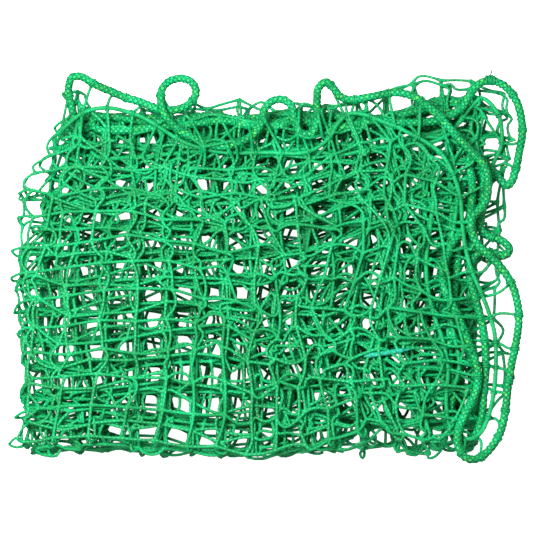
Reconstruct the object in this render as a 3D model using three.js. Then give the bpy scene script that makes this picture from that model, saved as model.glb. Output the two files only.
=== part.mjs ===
// A cargo climbing net, folded flat into a pack of sixteen thicknesses.
// Millimetres, +Z up. +X runs along the long side of the pack, +Y towards the side where the
// two long edges of the net lie, and Z = 0 is the surface the pack lies on.
import * as THREE from 'three';

// ---------------------------------------------------------------- driving dimensions
const MESH = 30; // side of one square mesh of the netting
const ROPE_DIAMETER = 8; // braided border rope
const CORD_DIAMETER = 4.5; // smooth selvedge cord, one mesh inside the border
const LEVELS = 8; // double thicknesses of netting in the pack
const LEVEL_PITCH = 8.5; // height of one double thickness, with its clearance
const NETTING_THICKNESS = 8; // two thicknesses of netting, which cross loosely
const FIRST_LEVEL_Z = 4.25; // middle of the ropes in the lowest double thickness
const CENTRE_SHIFT = { x: -3.26, y: 2.5 }; // puts the origin under the middle of the pack

// ---------------------------------------------------------------- materials
const TWINE_GREEN = new THREE.Color().setRGB(0.09, 0.62, 0.34, THREE.SRGBColorSpace);
const ROPE_GREEN = new THREE.Color().setRGB(0.12, 0.56, 0.27, THREE.SRGBColorSpace);
const CORD_GREEN = new THREE.Color().setRGB(0.1, 0.68, 0.37, THREE.SRGBColorSpace);
const SLEEVE_TEAL = new THREE.Color().setRGB(0.1, 0.75, 0.6, THREE.SRGBColorSpace);

const plain = (color, roughness) => new THREE.MeshStandardMaterial({ color, roughness, metalness: 0 });
const materials = {
  twine: plain(TWINE_GREEN, 0.55),
  rope: plain(ROPE_GREEN, 0.6),
  cord: plain(CORD_GREEN, 0.45),
  sleeve: plain(SLEEVE_TEAL, 0.35),
};

const pack = new THREE.Group();
pack.position.set(CENTRE_SHIFT.x, CENTRE_SHIFT.y, 0);

function addPiece(name, geometry, material) {
  const piece = new THREE.Mesh(geometry, material);
  piece.name = name;
  pack.add(piece);
  return piece;
}

const levelZ = (level) => FIRST_LEVEL_Z + LEVEL_PITCH * level;

// ---------------------------------------------------------------- netting
// Each double thickness is one flat lattice. A bar stands for the twines of two meshes in two
// thicknesses, so that the lattice holds as much material as the netting does.
const NETTING = {
  left: -266,
  bottom: -203,
  bar: 7,
  pitchX: 58.2,
  pitchY: 60.2,
  rows: 5,
  columns: 7, // where the border ropes lie beside the lattice
  wideColumns: 8, // where only folded meshes lie there
  wideLevels: [2, 3],
  sway: 3, // how far one thickness slips over the next
};

// The lattice as a grid of cells, in which every other cell of every other row is a hole.
function latticeGeometry(columns, rows) {
  const { bar, pitchX, pitchY } = NETTING;
  const lines = (count, pitch) =>
    Array.from({ length: 2 * count + 2 }, (_, i) => Math.floor(i / 2) * pitch + (i % 2) * bar);
  const xs = lines(columns, pitchX);
  const ys = lines(rows, pitchY);
  const inside = (i, j) => i >= 0 && j >= 0 && i < xs.length - 1 && j < ys.length - 1;
  const solid = (i, j) => inside(i, j) && !(i % 2 === 1 && j % 2 === 1);
  const layer = xs.length * ys.length;
  const corner = (i, j, top) => (top ? layer : 0) + j * xs.length + i;
  const triangles = [];
  const quad = (a, b, c, d) => triangles.push(a, b, c, a, c, d);
  const wall = (i0, j0, i1, j1) =>
    quad(corner(i0, j0, 0), corner(i1, j1, 0), corner(i1, j1, 1), corner(i0, j0, 1));
  for (let j = 0; j < ys.length - 1; j += 1) {
    for (let i = 0; i < xs.length - 1; i += 1) {
      if (solid(i, j)) {
        quad(corner(i, j, 1), corner(i + 1, j, 1), corner(i + 1, j + 1, 1), corner(i, j + 1, 1));
        quad(corner(i, j, 0), corner(i, j + 1, 0), corner(i + 1, j + 1, 0), corner(i + 1, j, 0));
        if (!solid(i, j - 1)) wall(i, j, i + 1, j);
        if (!solid(i + 1, j)) wall(i + 1, j, i + 1, j + 1);
        if (!solid(i, j + 1)) wall(i + 1, j + 1, i, j + 1);
        if (!solid(i - 1, j)) wall(i, j + 1, i, j);
      }
    }
  }
  const points = [0, NETTING_THICKNESS].flatMap((z) => ys.flatMap((y) => xs.flatMap((x) => [x, y, z])));
  const geometry = new THREE.BufferGeometry();
  geometry.setAttribute('position', new THREE.Float32BufferAttribute(points, 3));
  geometry.setIndex(triangles);
  geometry.computeVertexNormals();
  return geometry;
}

function addNetting() {
  for (let level = 0; level < LEVELS; level += 1) {
    const wide = NETTING.wideLevels.includes(level);
    const columns = wide ? NETTING.wideColumns : NETTING.columns;
    const geometry = latticeGeometry(columns, NETTING.rows);
    const piece = addPiece(`netting_fold_${level + 1}`, geometry, materials.twine);
    piece.position.set(
      NETTING.left + NETTING.sway * Math.sin(2.1 * level),
      NETTING.bottom + NETTING.sway * Math.cos(1.7 * level),
      levelZ(level) - FIRST_LEVEL_Z,
    );
  }
}

// ---------------------------------------------------------------- routes of the edges
// The net is folded in four along its width, then in four along its length, so each edge goes
// to and fro four times, and all four corners lie together. A route is a list of [x, y, z].
const at = (z, points) => points.map(([x, y, own]) => [x, y, own ?? z]);

// First long edge: right to left, back, and so on, from the bottom of the pack to its top.
const LONG_EDGE_1 = [
  ...at(levelZ(0), [[180, 165, 5.2], [120, 166], [50, 157], [-30, 164], [-110, 156], [-165, 163]]),
  ...at(0, [[-198, 165, 5], [-210, 162, 12], [-212, 154, 20], [-200, 149, 27]]),
  ...at(levelZ(3), [[-174, 150], [-130, 155], [-70, 147], [10, 155], [90, 148], [150, 153]]),
  ...at(0, [[186, 158, 30], [204, 162, 31], [212, 172, 34], [202, 182, 37]]),
  ...at(levelZ(4), [[160, 173], [100, 161], [30, 168], [-50, 160], [-120, 164], [-160, 162]]),
  ...at(0, [[-177, 160, 39], [-190, 152, 41], [-201, 157, 46], [-206, 172, 54], [-209, 190, 63]]),
  ...at(68.25, [[-205, 201], [-196, 202], [-180, 193], [-164, 186], [-148, 179], [-132, 174]]),
  ...at(68.25, [[-120, 169], [-108, 166], [-96, 166], [-84, 170], [-76, 178], [-74, 188]]),
  ...at(68.25, [[-80, 197], [-90, 200], [-101, 197, 70], [-109, 188, 74], [-111, 175, 77]]),
  ...at(68.25, [[-106, 158, 75], [-95, 146, 70], [-80, 137], [-64, 130], [-46, 126], [-27, 131]]),
  ...at(68.25, [[-12, 140], [-4, 152], [-2, 165], [6, 175], [18, 177], [27, 170], [30, 155]]),
  ...at(68.25, [[37, 141], [48, 140], [54, 152], [54, 175], [56, 190], [64, 196], [71, 190]]),
  ...at(68.25, [[77, 182], [86, 177], [111, 180], [130, 184], [144, 184], [157, 180], [170, 171]]),
];

// First short edge: down and up the right side, from the top of the pack inwards.
const SHORT_EDGE_1 = [
  ...at(68.25, [[196, 144], [217, 120], [227, 110], [233, 98], [234, 84], [232, 68], [225, 58]]),
  ...at(68.25, [[218, 50], [216, 38], [221, 23], [233, 10], [246, -3], [256, -18], [263, -38]]),
  ...at(68.25, [[265, -60], [262, -84], [257, -107], [253, -130], [250, -156], [245, -178]]),
  ...at(68.25, [[236, -194], [225, -205], [213, -208], [204, -202], [200, -190, 67]]),
  ...at(60, [[202, -174, 65], [210, -156, 63], [218, -140, 61], [222, -124], [221, -108]]),
  ...at(60, [[216, -92], [210, -76], [204, -60], [197, -44], [189, -28], [186, -9, 59]]),
  ...at(55.3, [[190, 9, 58.3], [198, 26, 56.9], [209, 40, 54.6], [216, 58], [218, 80], [217, 98]]),
  ...at(51, [[215, 108, 55], [216, 116, 54], [222, 121, 53], [229, 116, 52], [231, 104], [231, 88]]),
  ...at(51, [[229, 64], [226, 44], [232, 35], [249, 28], [257, 19], [252, 12], [240, 15]]),
  ...at(51, [[226, 16], [217, 6], [215, -12], [222, -39], [229, -70], [231, -103], [228, -135]]),
  ...at(51, [[226, -162], [219, -180, 50], [207, -187, 48], [196, -178, 46], [193, -160, 45]]),
  ...at(44.5, [[196, -130], [192, -98], [196, -60], [199, -24], [203, 10], [200, 46]]),
  ...at(43, [[204, 76, 44], [211, 94], [221, 107], [232, 110], [241, 105, 43.5]]),
  ...at(45, [[248, 96, 44], [254, 89, 44.5], [260, 93], [265, 108, 46], [269, 127, 47]]),
  ...at(50, [[272, 145, 48], [271, 161, 49], [267, 177, 51], [259, 190, 52.5], [249, 198, 54]]),
];

// Second long edge: back along the far side, from the upper half of the pack to the lower.
const LONG_EDGE_2 = [
  ...at(levelZ(6), [[226, 197], [217, 186], [209, 173], [198, 164], [180, 157], [146, 155]]),
  ...at(levelZ(6), [[114, 157], [78, 150], [36, 156], [-4, 149], [-43, 157], [-80, 153]]),
  ...at(levelZ(6), [[-122, 149], [-160, 146], [-176, 147], [-184, 154, 52], [-179, 162, 48]]),
  ...at(levelZ(5), [[-162, 163], [-120, 157], [-60, 164], [0, 156], [60, 164], [120, 160]]),
  ...at(levelZ(5), [[170, 171], [192, 169, 44.5], [206, 165, 41.5], [220, 163, 38]]),
  ...at(30, [[229, 168, 33.5], [228, 180, 28.5]]),
  ...at(levelZ(2), [[214, 187, 23.5], [185, 178], [130, 163], [60, 169], [-10, 161]]),
  ...at(levelZ(2), [[-80, 168], [-135, 162], [-175, 170], [-190, 170, 20], [-197, 164, 17.5]]),
  ...at(levelZ(1), [[-192, 157, 14.5], [-178, 155], [-150, 151], [-95, 157], [-30, 150]]),
  ...at(levelZ(1), [[40, 158], [110, 153], [142, 162], [163, 176, 12.1]]),
];

// Second short edge: down and up the right side in the lowest two double thicknesses.
const SHORT_EDGE_2 = [
  ...at(levelZ(1), [[194, 191, 12.1], [205, 188], [215, 181], [223, 168], [227, 153], [227, 138], [223, 118]]),
  ...at(levelZ(1), [[219, 95], [222, 60], [219, 20], [223, -25], [219, -70], [222, -115]]),
  ...at(levelZ(1), [[221, -160], [219, -180], [212, -188], [205, -180], [204, -160]]),
  ...at(levelZ(1), [[206, -115], [202, -70], [206, -25], [202, 20], [205, 60], [205, 82, 12.5]]),
  ...at(levelZ(0), [[203, 94, 11.3], [198, 99, 9.5], [193, 96, 7], [192, 86, 4.8], [195, 72], [199, 50]]),
  ...at(levelZ(0), [[198, 20], [202, -15], [198, -60], [202, -105], [200, -155], [201, -177]]),
  ...at(levelZ(0), [[205, -185], [211, -187], [216, -179], [217, -155], [218, -105], [214, -60]]),
  ...at(levelZ(0), [[218, -15], [214, 30], [218, 75], [219, 112], [213, 138, 5]]),
];

// The four corners of the net, each between the route before it and the route after it.
const CORNERS = {
  firstToShort1: [184, 158, 68.25],
  short1ToSecond: [238, 201, 55],
  secondToShort2: [179, 187, 11.7],
  short2ToFirst: [199, 154, 5.7],
};

// The selvedge cord keeps one mesh inside the border rope, except where the rope has slipped
// along the netting, and there it has points of its own.
const moved = (points, dx, dy) => points.map(([x, y, z]) => [x + dx, y + dy, z]);

const CORD_LONG_1 = [
  ...moved(LONG_EDGE_1.slice(1, 26), 0, -MESH),
  ...at(38.25, [[-186, 134], [-208, 131, 42], [-222, 130, 48], [-224, 138, 54]]),
  ...at(61.75, [[-216, 146, 58], [-204, 157, 60.5], [-191, 165], [-177, 169], [-162, 169]]),
  ...at(61.75, [[-146, 165], [-132, 160], [-112, 148], [-86, 132], [-50, 122], [0, 121]]),
  ...at(61.75, [[45, 122], [66, 136], [76, 152], [88, 163], [104, 162], [125, 154], [146, 145]]),
];
const CORD_SHORT_1 = [
  ...at(61.75, [[198, 96], [205, 72], [207, 45], [210, 18], [217, -8], [227, -32], [235, -54]]),
  ...at(61.75, [[240, -75], [241, -97], [240, -122], [237, -144], [231, -166], [223, -180]]),
  ...at(54, [[212, -185, 58.5], [200, -180, 56.5], [191, -166, 55], [189, -140], [191, -110]]),
  ...at(52.5, [[186, -80, 53], [176, -50, 53], [170, -20], [169, 5], [173, 40], [177, 70]]),
  ...at(51, [[176, 92, 52], [180, 105], [190, 112], [200, 106], [203, 86], [201, 60]]),
  ...at(51, [[196, 30], [190, 0], [192, -40], [198, -75], [203, -105], [197, -128, 51.3]]),
  ...at(36.5, [[186, -141, 50.5], [176, -137, 46], [170, -122, 40.5], [170, -98], [168, -60]]),
  ...at(36.3, [[172, -20], [169, 20], [172, 55], [178, 80], [196, 90], [216, 95]]),
  ...at(36.5, [[230, 101, 36.2], [239, 111, 36.6], [245, 122, 38.5], [250, 134, 42]]),
];
const CORD_LONG_2 = [
  ...at(48.5, [[230, 183], [218, 174], [206, 158, 49], [192, 142, 51.5], [168, 132, 54.5]]),
  ...moved(LONG_EDGE_2.slice(6), 0, -MESH),
];
const CORD_SHORT_2 = [
  ...moved(SHORT_EDGE_2.slice(5, 39), -MESH, 0),
  ...at(levelZ(0), [[185, 30], [182, 60], [181, 90], [178, 112]]),
];
const CORD_CORNERS = {
  firstToShort1: [184, 121, 61.75],
  short1ToSecond: [247, 165, 47],
  secondToShort2: [178, 156, levelZ(1)],
  short2ToFirst: [170, 130, levelZ(0)],
};

// ---------------------------------------------------------------- ropes and cords
// A stretch of a longer curve, between two shares of its length. It takes its evenly numbered
// steps closer together where it bends: STRAIGHT_STEP apart on a straight, and never turning
// by more than about BEND_STEP from one to the next.
const STRAIGHT_STEP = 60;
const BEND_STEP = 0.72;
const BEND_SAMPLES = 900;
const END_STEP = 4; // steps at both ends, where the joints are
const END_LENGTH = 9;

class Stretch extends THREE.Curve {
  constructor(whole, start, end) {
    super();
    this.whole = whole;
    this.start = start;
    this.end = end;
    this.effort = this.addUpEffort();
  }

  getPoint(t, target = new THREE.Vector3()) {
    const share = this.start + (this.end - this.start) * t;
    return this.whole.getPointAt(((share % 1) + 1) % 1, target);
  }

  // The number of steps that the stretch needs up to each of its samples.
  addUpEffort() {
    const effort = [0];
    const total = (this.end - this.start) * this.whole.getLength();
    let point = this.getPoint(0);
    let tangent = this.getTangent(0);
    for (let i = 1; i <= BEND_SAMPLES; i += 1) {
      const nextPoint = this.getPoint(i / BEND_SAMPLES);
      const nextTangent = this.getTangent(i / BEND_SAMPLES);
      const length = nextPoint.distanceTo(point);
      const turn = nextTangent.angleTo(tangent);
      const fromEnd = total * Math.min(i / BEND_SAMPLES, 1 - i / BEND_SAMPLES);
      const longest = fromEnd < END_LENGTH ? END_STEP : STRAIGHT_STEP;
      effort.push(effort[i - 1] + length / longest + turn / BEND_STEP);
      point = nextPoint;
      tangent = nextTangent;
    }
    return effort;
  }

  get steps() {
    return Math.ceil(this.effort[BEND_SAMPLES]);
  }

  getUtoTmapping(share) {
    const goal = share * this.effort[BEND_SAMPLES];
    let i = 1;
    while (i < BEND_SAMPLES && this.effort[i] < goal) {
      i += 1;
    }
    const span = this.effort[i] - this.effort[i - 1];
    return (i - 1 + (goal - this.effort[i - 1]) / span) / BEND_SAMPLES;
  }
}

function closedCurve(routes, corners) {
  const places = Object.values(corners);
  const points = routes.flatMap((route, index) => [...route, places[index]]);
  const curve = new THREE.CatmullRomCurve3(
    points.map((point) => new THREE.Vector3(...point)),
    true,
    'centripetal',
  );
  curve.arcLengthDivisions = 6000;
  return curve;
}

// The share of the curve's length at which it passes closest to a point.
function shareNear(curve, point, divisions = 6000) {
  const goal = new THREE.Vector3(...point);
  const place = new THREE.Vector3();
  let best = { share: 0, distance: Infinity };
  for (let i = 0; i < divisions; i += 1) {
    const share = i / divisions;
    const distance = curve.getPointAt(share, place).distanceTo(goal);
    if (distance < best.distance) {
      best = { share, distance };
    }
  }
  return best.share;
}

function circleShape(radius, sides) {
  const shape = new THREE.Shape();
  for (let side = 0; side < sides; side += 1) {
    const angle = (2 * Math.PI * (side + 0.5)) / sides;
    const x = radius * Math.cos(angle);
    const y = radius * Math.sin(angle);
    if (side === 0) {
      shape.moveTo(x, y);
    } else {
      shape.lineTo(x, y);
    }
  }
  shape.closePath();
  return shape;
}

function tube(stretch, radius, sides) {
  return new THREE.ExtrudeGeometry(circleShape(radius, sides), {
    steps: stretch.steps,
    extrudePath: stretch,
    bevelEnabled: false,
  });
}

// Cuts a closed edge cord into its four lengths, which meet end to end at the corners.
function addEdgeCords(prefix, curve, corners, radius, material) {
  const total = curve.getLength();
  const gap = 0.8 / total;
  const cuts = Object.values(corners).map((corner) => shareNear(curve, corner));
  const names = ['long_edge_1', 'short_edge_1', 'long_edge_2', 'short_edge_2'];
  names.forEach((name, index) => {
    const start = cuts[(index + 3) % 4];
    const end = cuts[index] > start ? cuts[index] : cuts[index] + 1;
    const stretch = new Stretch(curve, start + gap, end - gap);
    addPiece(`${prefix}_${name}`, tube(stretch, radius, 8), material);
  });
}

// A short wrapping of twine over each joint of the border rope.
function addSeizings(curve, corners) {
  const length = 9;
  const outer = ROPE_DIAMETER / 2 + 1.2;
  const inner = ROPE_DIAMETER / 2 + 0.6;
  const total = curve.getLength();
  Object.values(corners).forEach((corner, index) => {
    const middle = shareNear(curve, corner);
    const half = length / 2 / total;
    const ring = circleShape(outer, 12);
    ring.holes.push(circleShape(inner, 12));
    const geometry = new THREE.ExtrudeGeometry(ring, {
      steps: 3,
      extrudePath: new Stretch(curve, middle - half, middle + half),
      bevelEnabled: false,
    });
    addPiece(`corner_seizing_${index + 1}`, geometry, materials.rope);
  });
}

// The sleeve shrunk onto the cut end of a netting twine, which lies in the top of the pack.
function addSleeve() {
  const middle = new THREE.Vector3(122, -92, 63.5);
  const along = new THREE.Vector3(1, 0.16, 0).normalize();
  const half = 19;
  const start = middle.clone().addScaledVector(along, -half);
  const end = middle.clone().addScaledVector(along, half);
  const ring = circleShape(2.7, 10);
  ring.holes.push(circleShape(1.9, 10));
  const geometry = new THREE.ExtrudeGeometry(ring, {
    steps: 1,
    extrudePath: new THREE.LineCurve3(start, end),
    bevelEnabled: false,
  });
  addPiece('twine_end_sleeve', geometry, materials.sleeve);
}

const ropeRoutes = [LONG_EDGE_1, SHORT_EDGE_1, LONG_EDGE_2, SHORT_EDGE_2];
const cordRoutes = [CORD_LONG_1, CORD_SHORT_1, CORD_LONG_2, CORD_SHORT_2];
const ropeCurve = closedCurve(ropeRoutes, CORNERS);
const cordCurve = closedCurve(cordRoutes, CORD_CORNERS);

addNetting();
addEdgeCords('border_rope', ropeCurve, CORNERS, ROPE_DIAMETER / 2, materials.rope);
addEdgeCords('selvedge_cord', cordCurve, CORD_CORNERS, CORD_DIAMETER / 2, materials.cord);
addSeizings(ropeCurve, CORNERS);
addSleeve();

export default pack;
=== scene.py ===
import math

import bpy
import numpy as np
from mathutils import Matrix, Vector


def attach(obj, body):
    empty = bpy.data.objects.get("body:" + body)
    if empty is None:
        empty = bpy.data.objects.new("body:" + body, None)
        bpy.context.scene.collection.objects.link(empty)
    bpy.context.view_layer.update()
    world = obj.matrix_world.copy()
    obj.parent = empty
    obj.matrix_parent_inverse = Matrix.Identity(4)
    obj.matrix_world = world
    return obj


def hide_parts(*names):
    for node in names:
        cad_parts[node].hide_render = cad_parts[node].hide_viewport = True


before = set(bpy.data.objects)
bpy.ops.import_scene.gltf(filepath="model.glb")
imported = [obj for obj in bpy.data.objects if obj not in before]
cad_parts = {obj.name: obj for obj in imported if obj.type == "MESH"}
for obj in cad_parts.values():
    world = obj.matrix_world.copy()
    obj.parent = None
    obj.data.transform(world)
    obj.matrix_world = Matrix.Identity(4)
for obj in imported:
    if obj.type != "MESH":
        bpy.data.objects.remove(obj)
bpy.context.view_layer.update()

# A folded cargo climbing net: its border rope, selvedge cord and small pieces lie along routes that
# are given as points, and its netting is one sheet that is folded, held by the cords and relaxed.

MM = 0.001  # the net is worked out in millimetres and built in metres


# ---------------------------------------------------------------- camera
def add_camera(aim, elevation, distance, lens):
    """A long lens nearly straight above the net, from its near side."""
    data = bpy.data.cameras.new("camera")
    data.lens = lens
    data.sensor_width = 36
    data.clip_end = 20
    camera = bpy.data.objects.new("camera", data)
    angle = math.radians(elevation)
    camera.location = Vector(aim) + distance * Vector((0, -math.cos(angle), math.sin(angle)))
    camera.rotation_euler = (math.pi / 2 - angle, 0, 0)
    bpy.context.scene.collection.objects.link(camera)
    bpy.context.scene.camera = camera


add_camera(aim=(-0.0026, -0.0006, 0.06825), elevation=78.64, distance=5.0, lens=321.6)

# ---------------------------------------------------------------- routes of the edges
# The same points as the part's own, in millimetres: [x, y] at the stated height, or [x, y, z].
LEVEL_PITCH = 8.5
FIRST_LEVEL_Z = 4.25
CENTRE_SHIFT = (-3.26, 2.5, 0)
MESH = 30  # side of one square mesh
ROPE_DIAMETER = 8
CORD_DIAMETER = 4.5


def level_z(level):
    """The height of the middle of this level of the pack, counted from 0 at the lowest."""
    return FIRST_LEVEL_Z + LEVEL_PITCH * level


def at(z, points):
    """The points as [x, y, z], at this height where they give none."""
    return [[*point, z][:3] for point in points]


def moved(points, dx, dy):
    """The same points, moved sideways."""
    return [[x + dx, y + dy, z] for x, y, z in points]


LONG_EDGE_1 = [
    *at(level_z(0), [[180, 165, 5.2], [120, 166], [50, 157], [-30, 164], [-110, 156], [-165, 163]]),
    *at(0, [[-198, 165, 5], [-210, 162, 12], [-212, 154, 20], [-200, 149, 27]]),
    *at(level_z(3), [[-174, 150], [-130, 155], [-70, 147], [10, 155], [90, 148], [150, 153]]),
    *at(0, [[186, 158, 30], [204, 162, 31], [212, 172, 34], [202, 182, 37]]),
    *at(level_z(4), [[160, 173], [100, 161], [30, 168], [-50, 160], [-120, 164], [-160, 162]]),
    *at(0, [[-177, 160, 39], [-190, 152, 41], [-201, 157, 46], [-206, 172, 54], [-209, 190, 63]]),
    *at(68.25, [[-205, 201], [-196, 202], [-180, 193], [-164, 186], [-148, 179], [-132, 174]]),
    *at(68.25, [[-120, 169], [-108, 166], [-96, 166], [-84, 170], [-76, 178], [-74, 188]]),
    *at(68.25, [[-80, 197], [-90, 200], [-101, 197, 70], [-109, 188, 74], [-111, 175, 77]]),
    *at(68.25, [[-106, 158, 75], [-95, 146, 70], [-80, 137], [-64, 130], [-46, 126], [-27, 131]]),
    *at(68.25, [[-12, 140], [-4, 152], [-2, 165], [6, 175], [18, 177], [27, 170], [30, 155]]),
    *at(68.25, [[37, 141], [48, 140], [54, 152], [54, 175], [56, 190], [64, 196], [71, 190]]),
    *at(68.25, [[77, 182], [86, 177], [111, 180], [130, 184], [144, 184], [157, 180], [170, 171]]),
]
SHORT_EDGE_1 = [
    *at(68.25, [[196, 144], [217, 120], [227, 110], [233, 98], [234, 84], [232, 68], [225, 58]]),
    *at(68.25, [[218, 50], [216, 38], [221, 23], [233, 10], [246, -3], [256, -18], [263, -38]]),
    *at(68.25, [[265, -60], [262, -84], [257, -107], [253, -130], [250, -156], [245, -178]]),
    *at(68.25, [[236, -194], [225, -205], [213, -208], [204, -202], [200, -190, 67]]),
    *at(60, [[202, -174, 65], [210, -156, 63], [218, -140, 61], [222, -124], [221, -108]]),
    *at(60, [[216, -92], [210, -76], [204, -60], [197, -44], [189, -28], [186, -9, 59]]),
    *at(55.3, [[190, 9, 58.3], [198, 26, 56.9], [209, 40, 54.6], [216, 58], [218, 80], [217, 98]]),
    *at(51, [[215, 108, 55], [216, 116, 54], [222, 121, 53], [229, 116, 52], [231, 104], [231, 88]]),
    *at(51, [[229, 64], [226, 44], [232, 35], [249, 28], [257, 19], [252, 12], [240, 15]]),
    *at(51, [[226, 16], [217, 6], [215, -12], [222, -39], [229, -70], [231, -103], [228, -135]]),
    *at(51, [[226, -162], [219, -180, 50], [207, -187, 48], [196, -178, 46], [193, -160, 45]]),
    *at(44.5, [[196, -130], [192, -98], [196, -60], [199, -24], [203, 10], [200, 46]]),
    *at(43, [[204, 76, 44], [211, 94], [221, 107], [232, 110], [241, 105, 43.5]]),
    *at(45, [[248, 96, 44], [254, 89, 44.5], [260, 93], [265, 108, 46], [269, 127, 47]]),
    *at(50, [[272, 145, 48], [271, 161, 49], [267, 177, 51], [259, 190, 52.5], [249, 198, 54]]),
]
LONG_EDGE_2 = [
    *at(level_z(6), [[226, 197], [217, 186], [209, 173], [198, 164], [180, 157], [146, 155]]),
    *at(level_z(6), [[114, 157], [78, 150], [36, 156], [-4, 149], [-43, 157], [-80, 153]]),
    *at(level_z(6), [[-122, 149], [-160, 146], [-176, 147], [-184, 154, 52], [-179, 162, 48]]),
    *at(level_z(5), [[-162, 163], [-120, 157], [-60, 164], [0, 156], [60, 164], [120, 160]]),
    *at(level_z(5), [[170, 171], [192, 169, 44.5], [206, 165, 41.5], [220, 163, 38]]),
    *at(30, [[229, 168, 33.5], [228, 180, 28.5]]),
    *at(level_z(2), [[214, 187, 23.5], [185, 178], [130, 163], [60, 169], [-10, 161]]),
    *at(level_z(2), [[-80, 168], [-135, 162], [-175, 170], [-190, 170, 20], [-197, 164, 17.5]]),
    *at(level_z(1), [[-192, 157, 14.5], [-178, 155], [-150, 151], [-95, 157], [-30, 150]]),
    *at(level_z(1), [[40, 158], [110, 153], [142, 162], [163, 176, 12.1]]),
]
SHORT_EDGE_2 = [
    *at(level_z(1), [[194, 191, 12.1], [205, 188], [215, 181], [223, 168], [227, 153], [227, 138]]),
    *at(level_z(1), [[223, 118], [219, 95], [222, 60], [219, 20], [223, -25], [219, -70]]),
    *at(level_z(1), [[222, -115], [221, -160], [219, -180], [212, -188], [205, -180], [204, -160]]),
    *at(level_z(1), [[206, -115], [202, -70], [206, -25], [202, 20], [205, 60], [205, 82, 12.5]]),
    *at(level_z(0), [[203, 94, 11.3], [198, 99, 9.5], [193, 96, 7], [192, 86, 4.8], [195, 72], [199, 50]]),
    *at(level_z(0), [[198, 20], [202, -15], [198, -60], [202, -105], [200, -155], [201, -177]]),
    *at(level_z(0), [[205, -185], [211, -187], [216, -179], [217, -155], [218, -105], [214, -60]]),
    *at(level_z(0), [[218, -15], [214, 30], [218, 75], [219, 112], [213, 138, 5]]),
]
ROPE_CORNERS = [[184, 158, 68.25], [238, 201, 55], [179, 187, 11.7], [199, 154, 5.7]]

CORD_LONG_1 = [
    *moved(LONG_EDGE_1[1:26], 0, -MESH),
    *at(38.25, [[-186, 134], [-208, 131, 42], [-222, 130, 48], [-224, 138, 54]]),
    *at(61.75, [[-216, 146, 58], [-204, 157, 60.5], [-191, 165], [-177, 169], [-162, 169]]),
    *at(61.75, [[-146, 165], [-132, 160], [-112, 148], [-86, 132], [-50, 122], [0, 121]]),
    *at(61.75, [[45, 122], [66, 136], [76, 152], [88, 163], [104, 162], [125, 154], [146, 145]]),
]
CORD_SHORT_1 = [
    *at(61.75, [[198, 96], [205, 72], [207, 45], [210, 18], [217, -8], [227, -32], [235, -54]]),
    *at(61.75, [[240, -75], [241, -97], [240, -122], [237, -144], [231, -166], [223, -180]]),
    *at(54, [[212, -185, 58.5], [200, -180, 56.5], [191, -166, 55], [189, -140], [191, -110]]),
    *at(52.5, [[186, -80, 53], [176, -50, 53], [170, -20], [169, 5], [173, 40], [177, 70]]),
    *at(51, [[176, 92, 52], [180, 105], [190, 112], [200, 106], [203, 86], [201, 60]]),
    *at(51, [[196, 30], [190, 0], [192, -40], [198, -75], [203, -105], [197, -128, 51.3]]),
    *at(36.5, [[186, -141, 50.5], [176, -137, 46], [170, -122, 40.5], [170, -98], [168, -60]]),
    *at(36.3, [[172, -20], [169, 20], [172, 55], [178, 80], [196, 90], [216, 95]]),
    *at(36.5, [[230, 101, 36.2], [239, 111, 36.6], [245, 122, 38.5], [250, 134, 42]]),
]
CORD_LONG_2 = [
    *at(48.5, [[230, 183], [218, 174], [206, 158, 49], [192, 142, 51.5], [168, 132, 54.5]]),
    *moved(LONG_EDGE_2[6:], 0, -MESH),
]
CORD_SHORT_2 = [
    *moved(SHORT_EDGE_2[5:39], -MESH, 0),
    *at(level_z(0), [[185, 30], [182, 60], [181, 90], [178, 112]]),
]
CORD_CORNERS = [[184, 121, 61.75], [247, 165, 47], [178, 156, level_z(1)], [170, 130, level_z(0)]]
EDGES = ("long_edge_1", "short_edge_1", "long_edge_2", "short_edge_2")


# ---------------------------------------------------------------- lines in space
def lengths_along(line):
    """The length of a line up to each of its points."""
    return np.concatenate([[0], np.cumsum(np.linalg.norm(np.diff(line, axis=0), axis=1))])


def points_at(line, lengths):
    """The points of a line at these lengths along it."""
    along = lengths_along(line)
    return np.stack([np.interp(lengths, along, line[:, axis]) for axis in range(3)], axis=-1)


def evenly(line, step, trim=0.0):
    """A line again in equal steps of about this length, without the trimmed ends."""
    total = lengths_along(line)[-1]
    count = max(2, round((total - 2 * trim) / step))
    return points_at(line, np.linspace(trim, total - trim, count + 1))


def closed_sides(routes, corners, samples=24):
    """The four sides of the closed centripetal Catmull-Rom curve through routes and corners."""
    points = []
    corner_at = []
    for route, corner in zip(routes, corners):
        points += [*route, corner]
        corner_at.append(len(points) - 1)
    here = np.array(points, float) + CENTRE_SHIFT
    before, after, later = (np.roll(here, shift, axis=0) for shift in (1, -1, -2))
    gap = [
        np.linalg.norm(b - a, axis=1, keepdims=True) ** 0.5
        for a, b in ((before, here), (here, after), (after, later))
    ]
    leave = (here - before) / gap[0] - (after - before) / (gap[0] + gap[1])
    leave = (leave + (after - here) / gap[1]) * gap[1]
    arrive = (after - here) / gap[1] - (later - here) / (gap[1] + gap[2])
    arrive = (arrive + (later - after) / gap[2]) * gap[1]
    t = (np.arange(samples) / samples)[None, :, None]
    here, after, leave, arrive = (part[:, None] for part in (here, after, leave, arrive))
    square = -3 * here + 3 * after - 2 * leave - arrive
    cube = 2 * here - 2 * after + leave + arrive
    curve = (here + leave * t + square * t**2 + cube * t**3).reshape(-1, 3)
    sides = []
    for number in range(4):
        start = corner_at[number - 1] * samples
        stop = corner_at[number] * samples
        if stop <= start:
            stop += len(curve)
        sides.append(curve[np.arange(start, stop + 1) % len(curve)])
    return sides


def unit(vectors):
    """The same directions with a length of 1."""
    return vectors / np.maximum(np.linalg.norm(vectors, axis=-1, keepdims=True), 1e-9)


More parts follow.
